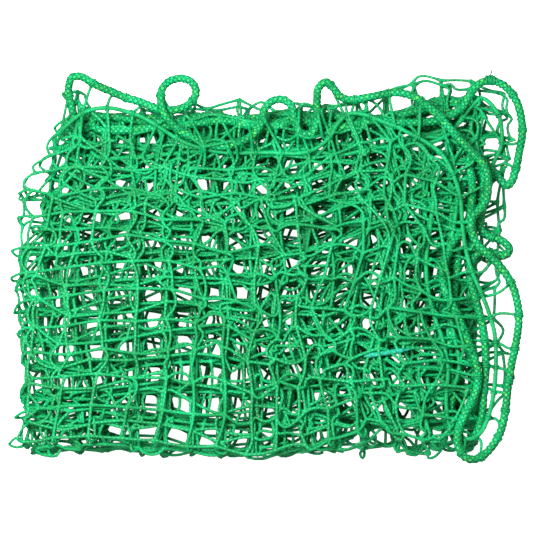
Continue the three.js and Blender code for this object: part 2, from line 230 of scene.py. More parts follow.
def sections(lines):
    """Two directions across each line at each of its points, turned no more than it bends."""
    tangent = unit(np.gradient(lines, axis=1))
    side = np.empty_like(lines)
    helper = np.where(np.abs(tangent[:, :1, 2:]) > 0.8, [[[1.0, 0, 0]]], [[[0, 0, 1.0]]])[:, 0]
    side[:, 0] = unit(np.cross(tangent[:, 0], helper))
    for i in range(1, lines.shape[1]):
        last = side[:, i - 1]
        along = np.sum(last * tangent[:, i], axis=-1, keepdims=True)
        side[:, i] = unit(last - along * tangent[:, i])
    return side, np.cross(tangent, side)


# ---------------------------------------------------------------- meshes
class Body:
    """Collects the tubes and rings of one mesh, and where each corner lies on its cord.

    The course of a corner is its part of a turn round the cord and its length along it in
    millimetres. It becomes the mesh's UV map, which the braid materials follow.
    """

    def __init__(self):
        self.points = []
        self.faces = []
        self.course = []
        self.count = 0

    def add(self, points, faces, course):
        self.points.append(points.reshape(-1, 3))
        self.faces += faces.tolist()
        self.course.append(course.reshape(-1, 2))
        self.count += len(self.points[-1])

    def tubes(self, lines, radius, sides, start=0.0):
        """Adds closed tubes along lines [line, point, xyz] with radius [line, point, side]."""
        lines = np.asarray(lines, float)
        lines = lines[None] if lines.ndim == 2 else lines
        if len(lines) == 0:
            return
        number, rings = lines.shape[:2]
        side, up = sections(lines)
        angle = 2 * np.pi * np.arange(sides) / sides
        radius = np.broadcast_to(radius, (number, rings, sides))[..., None]
        around = side[:, :, None] * np.cos(angle)[:, None] + up[:, :, None] * np.sin(angle)[:, None]
        shell = lines[:, :, None] + radius * around
        index = self.count + np.arange(number * rings * sides).reshape(number, rings, sides)
        beside = np.roll(index, -1, axis=2)
        quads = np.stack([index[:, :-1], index[:, 1:], beside[:, 1:], beside[:, :-1]], axis=-1)
        step = np.linalg.norm(np.diff(lines, axis=1), axis=-1)
        along = start + np.concatenate([np.zeros((number, 1)), np.cumsum(step, axis=1)], axis=1)
        turn = np.broadcast_to(np.arange(sides) / sides, (number, rings - 1, sides))
        first = np.broadcast_to(along[:, :-1, None], turn.shape)
        second = np.broadcast_to(along[:, 1:, None], turn.shape)
        corner = [(turn, first), (turn, second), (turn + 1 / sides, second), (turn + 1 / sides, first)]
        course = np.stack([np.stack(pair, axis=-1) for pair in corner], axis=-2)
        self.add(shell, quads.reshape(-1, 4), course)
        caps = np.concatenate([index[:, 0], index[:, -1, ::-1]])
        self.faces += caps.tolist()
        self.course.append(np.zeros((caps.size, 2)))

    def rings(self, centres, axes, radius, thickness, turns=14, sides=6):
        """Adds a closed ring round each centre, across its axis."""
        angle = 2 * np.pi * np.arange(turns) / turns
        axes = unit(np.asarray(axes, float))
        helper = np.where(np.abs(axes[:, 2:]) > 0.8, [[1.0, 0, 0]], [[0, 0, 1.0]])
        side = unit(np.cross(axes, helper))
        up = np.cross(axes, side)
        out = side[:, None] * np.cos(angle)[:, None] + up[:, None] * np.sin(angle)[:, None]
        small = 2 * np.pi * np.arange(sides) / sides
        outward = out[:, :, None] * (radius + thickness * np.cos(small))[:, None]
        sideways = axes[:, None, None] * (thickness * np.sin(small))[:, None]
        place = np.asarray(centres)[:, None, None] + outward + sideways
        number = len(axes)
        index = self.count + np.arange(number * turns * sides).reshape(number, turns, sides)
        ahead = np.roll(index, -1, axis=1)
        quads = np.stack([ahead, np.roll(ahead, -1, 2), np.roll(index, -1, 2), index], axis=-1)
        turn = np.arange(turns)[:, None, None] + np.array([1, 1, 0, 0])
        around = np.arange(sides)[None, :, None] + np.array([0, 1, 1, 0])
        length = 2 * np.pi * radius / turns
        course = np.stack(np.broadcast_arrays(around / sides, turn * length), axis=-1)
        course = np.broadcast_to(course, (number, turns, sides, 4, 2))
        self.add(place, quads.reshape(-1, 4), course)

    def build(self, name, material):
        """Makes the piece, which lies still with the object."""
        mesh = bpy.data.meshes.new(name)
        mesh.from_pydata((np.concatenate(self.points) * MM).tolist(), [], self.faces)
        course = mesh.uv_layers.new(name="course")
        course.data.foreach_set("uv", np.concatenate(self.course).ravel())
        mesh.polygons.foreach_set("use_smooth", np.ones(len(mesh.polygons), bool))
        mesh.materials.append(material)
        mesh.validate()
        piece = bpy.data.objects.new(name, mesh)
        bpy.context.scene.collection.objects.link(piece)
        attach(piece, "root")
        return piece


# ---------------------------------------------------------------- materials
def node_material(name):
    """A new material with its node tree and its shader."""
    material = bpy.data.materials.new(name)
    material.use_nodes = True
    tree = material.node_tree
    shader = tree.nodes["Principled BSDF"]
    return material, tree, shader


class Nodes:
    """Short names for adding and joining shader nodes."""

    def __init__(self, tree):
        self.tree = tree

    def add(self, kind, values=None, **settings):
        node = self.tree.nodes.new(kind)
        for name, value in settings.items():
            setattr(node, name, value)
        for socket, value in (values or {}).items():
            if isinstance(value, bpy.types.NodeSocket):
                self.tree.links.new(value, node.inputs[socket])
            else:
                node.inputs[socket].default_value = value
        return node

    def math(self, operation, a, b=0.0, c=0.0):
        return self.add("ShaderNodeMath", {0: a, 1: b, 2: c}, operation=operation).outputs[0]

    def mix(self, factor, a, b, blend="MIX"):
        node = self.add("ShaderNodeMix", {0: factor, 6: a, 7: b}, data_type="RGBA", blend_type=blend)
        return node.outputs[2]

    def ramp(self, value, stops):
        node = self.add("ShaderNodeValToRGB", {0: value})
        ramp = node.color_ramp
        while len(ramp.elements) < len(stops):
            ramp.elements.new(0.5)
        for element, (position, colour) in zip(ramp.elements, stops):
            element.position = position
            element.color = colour
        return node.outputs[0]


def linear(red, green, blue):
    """A colour given in the display's values of 0 to 255."""
    def channel(value):
        value /= 255
        return value / 12.92 if value <= 0.04045 else ((value + 0.055) / 1.055) ** 2.4
    return (channel(red), channel(green), channel(blue), 1)


def braid_material(name, colours, strands, pitch, depth, roughness, groove_shade_strength=0.5, tracer_and_glint=None):
    """Braided yarn: strands crossing in both directions round the cord, with fine fibres, and painted
    shade that darkens the colour in the grooves between the strands.

    Colours are dark, middle and light, pitch is in millimetres and depth in metres. A tracer colour is
    painted in specks on the crowns of every fifth strand: partly the yellow-green of a tracer yarn and
    partly painted glints of light.
    """
    material, tree, shader = node_material(name)
    n = Nodes(tree)
    course = n.add("ShaderNodeUVMap", uv_map="course").outputs[0]
    split = n.add("ShaderNodeSeparateXYZ", {0: course})
    around = n.math("MULTIPLY", split.outputs[0], strands)
    along = n.math("DIVIDE", split.outputs[1], pitch)
    one = n.math("ADD", around, along)
    two = n.math("SUBTRACT", around, along)
    bump_one = n.math("ABSOLUTE", n.math("SINE", n.math("MULTIPLY", one, math.pi)))
    bump_two = n.math("ABSOLUTE", n.math("SINE", n.math("MULTIPLY", two, math.pi)))
    braid = n.math("POWER", n.math("MULTIPLY", bump_one, bump_two), 0.7)
    place = n.add("ShaderNodeTexCoord").outputs["Object"]
    fibre = n.add("ShaderNodeTexNoise", {"Vector": place, "Scale": 600, "Detail": 4}).outputs[0]
    patch = n.add("ShaderNodeTexNoise", {"Vector": place, "Scale": 35, "Detail": 2}).outputs[0]
    dark, mid, light = (linear(*c) for c in colours)
    tone = n.ramp(patch, [(0.3, dark), (0.5, mid), (0.72, light)])
    # painted shade: the colour is darker in the braid's grooves and lighter on the crowns of its strands,
    # more so the larger the contrast given
    painted_groove_shade = n.math("MULTIPLY_ADD", braid, groove_shade_strength, 1.1 - groove_shade_strength)
    groove_shade_grey = n.add("ShaderNodeCombineColor", {0: painted_groove_shade, 1: painted_groove_shade, 2: painted_groove_shade}).outputs[0]
    tone = n.mix(0.9, tone, groove_shade_grey, "MULTIPLY")
    fleck = n.ramp(fibre, [(0.35, (0.6, 0.6, 0.6, 1)), (0.65, (1.2, 1.2, 1.2, 1))])
    tone = n.mix(0.9, tone, fleck, "MULTIPLY")
    if tracer_and_glint:
        # painted glints: the tracer colour shows only in specks where the strands crest, as highlights
        # would
        cell = n.math("FLOOR", one)
        positive = n.math("ADD", cell, 5000)
        every_fifth = n.math("LESS_THAN", n.math("MODULO", positive, 5), 1)
        glint = n.math("GREATER_THAN", fibre, 0.55)
        share = n.math("MULTIPLY", n.math("MULTIPLY", every_fifth, glint), braid)
        tone = n.mix(share, tone, linear(*tracer_and_glint))
    tree.links.new(tone, shader.inputs["Base Color"])
    height = n.math("ADD", braid, n.math("MULTIPLY", fibre, 0.35))
    bump = n.add("ShaderNodeBump", {"Height": height, "Distance": depth, "Strength": 0.9})
    tree.links.new(bump.outputs[0], shader.inputs["Normal"])
    shader.inputs["Roughness"].default_value = roughness
    shader.inputs["Specular IOR Level"].default_value = 0.3
    return material


TWINE = braid_material(
    "netting_twine", [(0, 150, 80), (0, 172, 98), (4, 192, 117)], 3, 4.5, 0.0003, 0.5
)
# The border rope's yellow-green specks are painted glints, partly a tracer yarn's colour, and its grooves
# get deeper painted shade.
ROPE = braid_material(
    "border_rope",
    [(0, 162, 86), (0, 186, 104), (14, 210, 130)],
    5,
    5.5,
    0.001,
    0.45,
    groove_shade_strength=0.8,
    tracer_and_glint=(90, 215, 70),
)
CORD = braid_material(
    "selvedge_cord", [(0, 160, 86), (0, 182, 104), (6, 200, 122)], 8, 1.6, 0.0002, 0.4
)
SLEEVE = braid_material(
    "twine_sleeve", [(20, 158, 128), (28, 180, 146), (50, 198, 164)], 3, 9.0, 0.0001, 0.3
)

# ---------------------------------------------------------------- ropes and cords
ROPE_SIDES = closed_sides([LONG_EDGE_1, SHORT_EDGE_1, LONG_EDGE_2, SHORT_EDGE_2], ROPE_CORNERS)
CORD_SIDES = closed_sides([CORD_LONG_1, CORD_SHORT_1, CORD_LONG_2, CORD_SHORT_2], CORD_CORNERS)
JOINT_GAP = 0.8  # cut off a side at each end, so that two sides don't touch
YARN_NOISE = 0.25
FUZZ = np.random.default_rng(3)


def braid_relief(rings, sides, step, strands, pitch):
    """How far the strands of a braid stand out, from 0 in its grooves to 1."""
    around = (np.arange(sides) / sides * strands)[None, :]
    along = (np.arange(rings) * step / pitch)[:, None]
    relief = np.abs(np.sin(np.pi * (around + along)) * np.sin(np.pi * (around - along)))
    return relief**0.5


def add_edge_cord(prefix, number, line, diameter, step, sides, relief, strands, pitch, material):
    """One side of the border rope or of the selvedge cord, with its braid standing out."""
    path = evenly(line, step, JOINT_GAP)
    height = braid_relief(len(path), sides, step, strands, pitch)
    height += YARN_NOISE * FUZZ.normal(0, 1, height.shape)
    body = Body()
    radius = diameter / 2 + relief * (height - 0.5)
    body.tubes(path, radius[None], sides)
    name = f"{prefix}_{EDGES[number]}"
    piece = body.build(f"{name}_braid", material)
    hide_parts(name)


for number in range(4):
    add_edge_cord(
        "border_rope",
        number,
        ROPE_SIDES[number],
        ROPE_DIAMETER,
        step=1.3,
        sides=24,
        relief=1.1,
        strands=5,
        pitch=5.5,
        material=ROPE,
    )
    add_edge_cord(
        "selvedge_cord",
        number,
        CORD_SIDES[number],
        CORD_DIAMETER,
        step=1.6,
        sides=12,
        relief=0.3,
        strands=6,
        pitch=2.4,
        material=CORD,
    )


# ---------------------------------------------------------------- small pieces
SEIZING_TURNS = 6
TWINE_CORE = 1.4


def axes_at(line, points):
    """The direction of a line where it passes each of these points."""
    path = evenly(line, 2.0)
    heading = unit(np.gradient(path, axis=0))
    nearest = np.argmin(np.linalg.norm(points[:, None] - path[None], axis=-1), axis=1)
    return heading[nearest]


def add_seizing(number):
    """Turns of twine round the joint of two sides of the border rope."""
    corner = ROPE_SIDES[number][-1:]
    axis = axes_at(ROPE_SIDES[number], corner)
    places = corner + axis * np.linspace(-4.2, 4.2, SEIZING_TURNS)[:, None]
    body = Body()
    tilt = axis + FUZZ.normal(0, 0.06, (SEIZING_TURNS, 3))
    body.rings(places, tilt, ROPE_DIAMETER / 2 + 0.9, 0.85, turns=22)
    piece = body.build(f"corner_seizing_{number + 1}_turns", TWINE)
    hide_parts(f"corner_seizing_{number + 1}")


def add_loose_ends(name, root, heading, count, length):
    """The cut ends of the yarns at a joint, standing out like a small brush."""
    body = Body()
    for _ in range(count):
        way = unit(np.array(heading) + FUZZ.normal(0, 0.35, 3))
        bend = FUZZ.normal(0, 0.25, 3)
        steps = np.linspace(0, 1, 7)[:, None] * length * FUZZ.uniform(0.6, 1.0)
        line = np.array(root) + steps * way + bend * steps**2 / length
        body.tubes(line, np.linspace(0.55, 0.3, 7)[None, :, None], 6)
    body.build(name, TWINE)


def add_sleeve():
    """The teal sleeve shrunk onto the cut end of a twine, closed in over the twine at both ends."""
    middle = np.array([122, -92, 63.5])
    along = unit(np.array([1, 0.16, 0]))
    places = np.array([-19, -18.6, -17, -14, -8, 0, 8, 14, 17, 18.6, 19])
    radius = np.array([2.0, 2.35, 2.6, 2.7, 2.65, 2.7, 2.65, 2.7, 2.6, 2.35, 2.0])
    lines = middle + places[:, None] * along
    body = Body()
    body.tubes(lines, radius[None, :, None], 20)
    body.tubes(middle + np.array([[-23], [-19], [19], [27]]) * along, TWINE_CORE, 8)
    piece = body.build("twine_end_sleeve_shrunk", SLEEVE)
    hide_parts("twine_end_sleeve")


for number in range(4):
    add_seizing(number)
add_loose_ends("loose_ends_long_edge_1", (-208, 203, 70), (-0.3, 1, 0.4), 5, 7)
add_loose_ends("loose_ends_corner_2", ROPE_SIDES[1][-1] + [0, 3, 1], (0, 1, 0.6), 6, 11)
add_sleeve()

# ---------------------------------------------------------------- the netting as one sheet
# u counts meshes along the net and v across it. The sheet is folded in four along v and then
# in four along u, at these meshes, which gives it four panels each way and sixteen thicknesses.
# LEG_STEPS points make one side of a mesh.
LEG_STEPS = 4
SHEET_U = 68
SHEET_V = 54
U_FOLDS = (16.5, 34.0, 50.5)
V_FOLDS = (13.25, 27.0, 40.75)
TWINE_RADIUS = 1.6
CROSSING_RADIUS = 2.5
LAYER_PITCH = LEVEL_PITCH / 2
LOWEST_LAYER_Z = TWINE_RADIUS + 0.4
LEFT_FOLD = -246  # x of the folds at the left, before their own shape
NEAR_FOLD = -199  # y of the folds at the near side
TOP_ROPE_Z = 50  # the rope lies on top of the pack above this height
TWINE_SLACK = (0.02, 0.22)  # how much longer than a mesh the twine between two crossings is
RNG = np.random.default_rng(7)

# x of the lower and the upper left fold at these v, and how deep the sheet is folded at these u.
LEFT_LOW = (
    (0, 4, 9, 13.5, 20, 27, 34, 40.5, 48, 54),
    (-222, -246, -264, -262, -264, -222, -250, -260, -266, -240),
)
LEFT_HIGH = (
    (0, 1.5, 3, 5, 8, 11, 13.5, 15, 20, 27, 34, 40.5, 48, 54),
    (-212, -246, -268, -280, -281, -278, -272, -262, -264, -218, -250, -262, -268, -240),
)
FOLDED_DEPTH = (
    (0, 8, 17, 25, 34, 42, 51, 60, 68),
    (372, 384, 386, 374, 380, 372, 384, 388, 376),
)

U = (np.arange(SHEET_U * LEG_STEPS + 1) / LEG_STEPS)[None, :]
V = (np.arange(SHEET_V * LEG_STEPS + 1) / LEG_STEPS)[:, None]
SHAPE = (V.shape[0], U.shape[1])
CROSSINGS = (SHEET_V + 1, SHEET_U + 1, 3)
U_PANEL = np.searchsorted(U_FOLDS, U, side="right")
V_PANEL = np.searchsorted(V_FOLDS, V, side="right")


def layer_of(u_panel, v_panel):
    """Which of the sixteen thicknesses a panel is, from the lowest."""
    return 4 * u_panel + np.where(u_panel % 2 == 0, v_panel, 3 - v_panel)


TOP_LAYERS = np.broadcast_to(layer_of(U_PANEL, V_PANEL) > 13, SHAPE)
UPPER_LAYERS = np.broadcast_to(layer_of(U_PANEL, V_PANEL) > 9, SHAPE)


def smooth_step(value):
    """Rises smoothly from 0 to 1 while the value does, and is level beyond."""
    value = np.clip(value, 0, 1)
    return value * value * (3 - 2 * value)


def ripple(scale, waves=36):
    """A smooth random height over the sheet, about 1 high, in waves about scale meshes long."""
    angle = RNG.uniform(0, 2 * np.pi, waves)
    number = 2 * np.pi / scale * RNG.uniform(0.6, 1.5, waves)
    phase = RNG.uniform(0, 2 * np.pi, waves)
    total = np.zeros(SHAPE)
    for a, k, p in zip(angle, number, phase):
        total += np.cos(k * (U * np.cos(a) + V * np.sin(a)) + p)
    return total * math.sqrt(2 / waves)


def laid_waves(x, y, scale, waves=24):
    """A smooth random shift that is the same for everything lying at the same place."""
    total = np.zeros(np.broadcast_shapes(np.shape(x), np.shape(y)))
    for _ in range(waves):
        angle = RNG.uniform(0, 2 * np.pi)
        number = 2 * np.pi / scale * RNG.uniform(0.6, 1.5)
        phase = RNG.uniform(0, 2 * np.pi)
        total = total + np.cos(number * (x * np.cos(angle) + y * np.sin(angle)) + phase)
    return total * math.sqrt(2 / waves)


def gathered(distance, free, length, room):
    """Distance from a fold, gathered beyond free so that length takes up only room."""
    beyond = np.maximum(distance - free, 0)
    return np.minimum(distance, free) + beyond * (room - free) / (length - free)


def folded_height():
    """The height of each thickness, brought together where the sheet turns over its neighbours."""
    height = LOWEST_LAYER_Z + LAYER_PITCH * layer_of(U_PANEL, V_PANEL).astype(float)
    for number, fold in enumerate(U_FOLDS):
        here = (U_PANEL == number) | (U_PANEL == number + 1)
        layers = layer_of(number, V_PANEL) + layer_of(number + 1, V_PANEL)
        middle = LOWEST_LAYER_Z + LAYER_PITCH * layers / 2
        away = MESH * np.abs(U - fold)
        outermost = V_PANEL == (3 if number == 1 else 0)
        around_all = 0.27 + 0.73 * smooth_step((away - 12) / 50)
        open_to = np.where(outermost, around_all, smooth_step(away / 14))
        height = np.where(here, middle + (height - middle) * open_to, height)
    return height


def folded_sheet():
    """Where each point of the sheet would lie if it were folded by hand, before its edges pull."""
    fold = np.where(U_PANEL < 2, U_FOLDS[0], U_FOLDS[2])
    across = MESH * np.abs(U - fold)
    upper, lower = {"length": 495, "room": 476}, {"length": 525, "room": 480}
    across = np.where(U_PANEL == 1, gathered(across, free=250, **lower), across)
    across = np.where(U_PANEL == 2, gathered(across, free=250, **upper), across)
    left = np.where(U_PANEL < 2, np.interp(V, *LEFT_LOW), np.interp(V, *LEFT_HIGH))
    x = LEFT_FOLD + across + (left - LEFT_FOLD) * np.exp(-((across / 90) ** 1.5))
    fold = np.where(V_PANEL < 2, V_FOLDS[0], V_FOLDS[2])
    down = MESH * np.abs(V - fold)
    inner = (V_PANEL == 1) | (V_PANEL == 2)
    depth = np.interp(U, *FOLDED_DEPTH)
    turned = down - MESH / 2 * smooth_step(down / 90)
    rise = np.where(inner, gathered(turned, free=220, length=397, room=depth), down)
    near_edge = NEAR_FOLD + 3 * np.sin(0.4 * U + 1.1) + 19 * smooth_step((x - 40) / 90)
    uneven = 5 + 5 * np.sin(0.17 * U + np.where(V_PANEL < 2, 0.4, 3.4))
    y = near_edge + rise + uneven * (1 - smooth_step(down / 300))
    return np.stack(np.broadcast_arrays(x, y, folded_height()), axis=-1)


# ---------------------------------------------------------------- how the edges hold the sheet
def turns_of(line, axis):
    """The lengths along a side at which it turns back, which are at the folds of the sheet."""
    along = lengths_along(line)
    found = [0.0]
    way = 1
    for start, stop in ((0.12, 0.42), (0.36, 0.68), (0.6, 0.92)):
        inside = (along > max(start * along[-1], found[-1] + 100)) & (along < stop * along[-1])
        values = np.where(inside, line[:, axis] * way, np.inf)
        found.append(along[np.argmin(values)])
        way = -way
    return [*found, along[-1]]


def crossings_on_cord(line, axis, folds, count):
    """The lengths along a selvedge cord of the sheet's points between its first and last mesh."""
    marks = turns_of(line, axis)
    stations = [1, *folds, count - 1]
    places = np.arange(LEG_STEPS, (count - 1) * LEG_STEPS + 1) / LEG_STEPS
    return np.interp(places, stations, marks)


def hung_from_rope(rope, crossings, step=3.0, reach=27.0):
    """For each crossing on the cord, the length along the rope where its mesh hangs, in order.

    The cheapest choice is found by dynamic programming over the steps of the rope: each mesh
    should reach its rope at about its own length, and about one mesh after the last.
    """
    end_cost, spacing_cost = 30.0, 0.6
    path = evenly(rope, step)
    away = np.linalg.norm(crossings[:, None] - path[None], axis=-1)
    cost = (away - reach) ** 2
    one_mesh = 9  # steps from the corner of the sheet to the first mesh
    places = np.arange(len(path))
    best = cost[0] + np.abs(places - one_mesh) * end_cost
    jumps = range(5, 24)
    choice = []
    for row in cost[1:]:
        options = []
        for jump in jumps:
            shifted = np.full(len(path), np.inf)
            shifted[jump:] = best[:-jump]
            options.append(shifted + spacing_cost * (jump * step - MESH) ** 2)
        options = np.array(options)
        choice.append(np.argmin(options, axis=0) + jumps[0])
        best = row + np.min(options, axis=0)
    place = int(np.argmin(best + np.abs(len(path) - 1 - places - one_mesh) * end_cost))
    order = [place]
    for pick in reversed(choice):
        place -= int(pick[place])
        order.append(place)
    total = lengths_along(rope)[-1]
    return np.array(order[::-1]) * total / (len(path) - 1)


def edge_lines():
    """The sheet's four rope edges and four cord edges as points of the sheet, in order of u or v."""
    edges = {}
    for number, (axis, folds, count, backward) in enumerate((
        (0, U_FOLDS, SHEET_U, False),
        (1, V_FOLDS, SHEET_V, False),
        (0, U_FOLDS, SHEET_U, True),
        (1, V_FOLDS, SHEET_V, True),
    )):
        rope, cord = ROPE_SIDES[number], CORD_SIDES[number]
        if backward:
            rope, cord = rope[::-1], cord[::-1]
        cord_points = points_at(cord, crossings_on_cord(cord, axis, folds, count))
        at_rope = hung_from_rope(rope, cord_points[::LEG_STEPS])
        total = lengths_along(rope)[-1]
        at_rope = np.concatenate([[0], at_rope, [total]])
        fine = np.interp(np.arange(count * LEG_STEPS + 1) / LEG_STEPS, np.arange(count + 1), at_rope)
        edges[EDGES[number]] = (points_at(rope, fine), cord_points)
    return edges


def pulled_sheet(sheet, edges, reach=5.5):
    """Draws the sheet towards its edge cords, less and less with distance from them."""
    first_v, last_v = LEG_STEPS, (SHEET_V - 1) * LEG_STEPS
    first_u, last_u = LEG_STEPS, (SHEET_U - 1) * LEG_STEPS
    inner_u, inner_v = slice(first_u, last_u + 1), slice(first_v, last_v + 1)
    cords = {name: edges[name][1] for name in EDGES}
    gaps = {
        "long_edge_1": cords["long_edge_1"] - sheet[first_v, inner_u],
        "long_edge_2": cords["long_edge_2"] - sheet[last_v, inner_u],
        "short_edge_2": cords["short_edge_2"] - sheet[inner_v, first_u],
        "short_edge_1": cords["short_edge_1"] - sheet[inner_v, last_u],
    }
    padding = ((LEG_STEPS, LEG_STEPS), (0, 0))
    pulls = {name: np.pad(gap, padding, "edge") for name, gap in gaps.items()}
    pulls = {name: pull[None] if "long" in name else pull[:, None] for name, pull in pulls.items()}
    weight = {
        "long_edge_1": smooth_step(1 - (V - 1) / reach)[..., None],
        "long_edge_2": smooth_step(1 - (SHEET_V - 1 - V) / reach)[..., None],
        "short_edge_2": smooth_step(1 - (U - 1) / reach)[..., None],
        "short_edge_1": smooth_step(1 - (SHEET_U - 1 - U) / reach)[..., None],
    }
    result = sheet + sum(weight[name] * pulls[name] for name in pulls)
    for long, start in (("long_edge_1", 0), ("long_edge_2", -1)):
        for short, side in (("short_edge_2", 0), ("short_edge_1", -1)):
            corner = (pulls[long][0, side] + pulls[short][start, 0]) / 2
            result = result - weight[long] * weight[short] * corner
    result[0] = edges["long_edge_1"][0]
    result[-1] = edges["long_edge_2"][0]
    result[:, 0] = edges["short_edge_2"][0]
    result[:, -1] = edges["short_edge_1"][0]
    result[first_v, inner_u] = cords["long_edge_1"]
    result[last_v, inner_u] = cords["long_edge_2"]
    result[inner_v, first_u] = cords["short_edge_2"]
    result[inner_v, last_u] = cords["short_edge_1"]
    return result


def held_points():
    """The points of the sheet that its ropes and cords hold in place."""
    held = np.zeros(SHAPE, bool)
    held[[0, LEG_STEPS, -1 - LEG_STEPS, -1]] = True
    held[:, [0, LEG_STEPS, -1 - LEG_STEPS, -1]] = True
    return held


def relaxed(sheet, held, steps):
    """Brings the twines to their real length between the crossings, which rub and stay put."""
    stiffness, early_grip, late_grip = 0.03, 0.05, 0.015
    place = sheet.copy()
    goal = sheet.copy()
    strands = (place[::LEG_STEPS], place[:, ::LEG_STEPS].swapaxes(0, 1))
    legs = [(strand.shape[0], strand.shape[1] // LEG_STEPS) for strand in strands]
    slack = [1 + RNG.uniform(*TWINE_SLACK, shape) for shape in legs]
    rest = [MESH / LEG_STEPS * np.repeat(share, LEG_STEPS, axis=1)[..., None] for share in slack]
    for step in range(steps):
        grip = early_grip if step < steps * 0.8 else late_grip
        crossings = place[::LEG_STEPS, ::LEG_STEPS]
        crossings += grip * (goal[::LEG_STEPS, ::LEG_STEPS] - crossings)
        for strand, segment in zip(strands, rest):
            middle = (strand[:, :-2] + strand[:, 2:]) / 2
            strand[:, 1:-1] += stiffness * (middle - strand[:, 1:-1])
            for start in (0, 1):
                near = strand[:, start:-1:2]
                far = strand[:, start + 1::2]
                gap = far - near
                length = np.linalg.norm(gap, axis=-1, keepdims=True)
                push = 0.5 * (1 - segment[:, start::2] / np.maximum(length, 1e-6)) * gap
                near += push
                far -= push
        place[held] = goal[held]
    return place


def bilinear(crossings):
    """Values given at the crossings, spread over the points between them."""
    rows = np.arange(SHAPE[0]) / LEG_STEPS
    columns = np.arange(SHAPE[1]) / LEG_STEPS
    low_r = np.minimum(rows.astype(int), SHEET_V - 1)
    low_c = np.minimum(columns.astype(int), SHEET_U - 1)
    part_r = (rows - low_r)[:, None, None]
    part_c = (columns - low_c)[None, :, None]
    upper = crossings[low_r][:, low_c] * (1 - part_c) + crossings[low_r][:, low_c + 1] * part_c
    lower = crossings[low_r + 1][:, low_c] * (1 - part_c) + crossings[low_r + 1][:, low_c + 1] * part_c
    return upper * (1 - part_r) + lower * part_r


def bows(along, heights):
    """Sideways bends of the twines between their crossings, this high in each mesh along them."""
    leg = np.minimum(along.astype(int), heights.shape[1] - 2)
    return np.sin(np.pi * (along - leg)) * np.take_along_axis(heights, leg, axis=1)


def nested(place, first, share):
    """Moves twines that lie near those of the layers below closer to them."""
    turn = 2 * np.pi * (place - first) / MESH
    return place - share * MESH / (2 * np.pi) * np.sin(turn)


def from_near_folds():
    """How free each point is, from 0.2 at the folds at the left and near sides to 1 beyond them."""
    across = np.minimum(np.abs(U - U_FOLDS[0]), np.abs(U - U_FOLDS[2]))
    down = np.minimum(np.abs(V - V_FOLDS[0]), np.abs(V - V_FOLDS[2]))
    return 0.2 + 0.8 * smooth_step(MESH * np.minimum(across, down) / 60)


def slipped(sheet):
    """Each thickness slides a little over the next, most of all at the top of the pack."""
    free = from_near_folds()
    slack = np.where(TOP_LAYERS, 5.0, 2.0)
    shift = [free * (10 * ripple(20) + slack * ripple(3)) for _ in range(2)]
    return sheet + np.stack([*shift, 0.9 * ripple(5)], axis=-1)


def sagged(sheet):
    """The top of the pack sags towards the near side at its far left, where its meshes crowd."""
    x, y = sheet[..., 0], sheet[..., 1]
    hollow = np.exp(-(((x + 140) / 80) ** 2) - ((y - 135) / 45) ** 2)
    depth = np.where(TOP_LAYERS, 40.0, np.where(UPPER_LAYERS, 22.0, 0.0))
    sheet[..., 1] = y - depth * hollow
    return sheet


def settled(sheet):
    """The thicknesses settle into one another, and the twines bend and bow between their crossings.

    Their y leans towards the near side with their height, as the line of sight does, so that
    twines which lie on each other also look so from the camera.
    """
    x, y = sheet[..., 0], sheet[..., 1]
    free = from_near_folds()
    caught = 0.88 + 0.1 * np.maximum(smooth_step((x + 60) / 160), smooth_step((y - 20) / 80))
    caught = np.where(TOP_LAYERS, 0.3, caught)
    lean = 0.2 * sheet[..., 2]
    new_x, new_y = x, y
    for _ in range(3):
        new_x = nested(new_x, LEFT_FOLD + MESH / 2, caught)
        new_y = nested(new_y, NEAR_FOLD + MESH / 2 - lean, caught)
    new_x = new_x + free * 6 * laid_waves(x, y + lean, 300)
    new_y = new_y + free * 6 * laid_waves(x, y + lean, 260)
    result = np.stack([new_x, new_y, sheet[..., 2]], axis=-1)
    loose = np.where(TOP_LAYERS, 1.0, 0.65)
    shift = RNG.normal(0, (6.4, 6.4, 0.3), CROSSINGS)
    result += bilinear(loose[::LEG_STEPS, ::LEG_STEPS, None] * shift)
    heights = RNG.normal(0, 7.0, (SHAPE[0], SHEET_U + 1))
    result[..., 1] += loose * bows(np.broadcast_to(U, SHAPE), heights)
    heights = RNG.normal(0, 7.0, (SHAPE[1], SHEET_V + 1))
    result[..., 0] += loose * bows(np.broadcast_to(V, SHAPE).T, heights).T
    result += RNG.normal(0, (0.5, 0.5, 0.2), (*SHAPE, 3))
    return np.where(HELD[..., None], sheet, result)


def opened_folds(sheet):
    """The twines open into small loops where the sheet turns over at its left and near folds."""
    for axis, place, folds in ((1, U, U_FOLDS[::2]), (0, V, V_FOLDS[::2])):
        for fold in folds:
            away = MESH * (place - fold) / 7
            opening = 3.0 * away * np.exp(1 - np.abs(away))
            sheet[..., axis] += np.where(HELD, 0, opening)
    return sheet


def beside_rope(sheet, here, over):
    """Passes these points of the sheet over the ropes on top of the pack, or else under them."""
    points = sheet[here]
    path = np.concatenate([evenly(rope, 3.0) for rope in ROPE_SIDES[:2]])
    path = path[path[:, 2] > TOP_ROPE_Z]
    deepest = 20  # twines further than this below the rope stay where they are
    gap = np.linalg.norm(points[:, None, :2] - path[None, :, :2], axis=-1)
    nearest = np.argmin(gap, axis=1)
    reach = ROPE_DIAMETER / 2 + TWINE_RADIUS
    rise = np.sqrt(np.maximum(reach**2 - (0.7 * gap.min(axis=1)) ** 2, 0))
    height = path[nearest, 2]
    if over:
        passed = np.maximum(points[:, 2], height + rise)
    else:
        passed = np.minimum(points[:, 2], height - rise)
        passed = np.where(points[:, 2] > height - deepest, passed, points[:, 2])
    points[:, 2] = np.where(rise > 0, passed, points[:, 2])
    sheet[here] = points


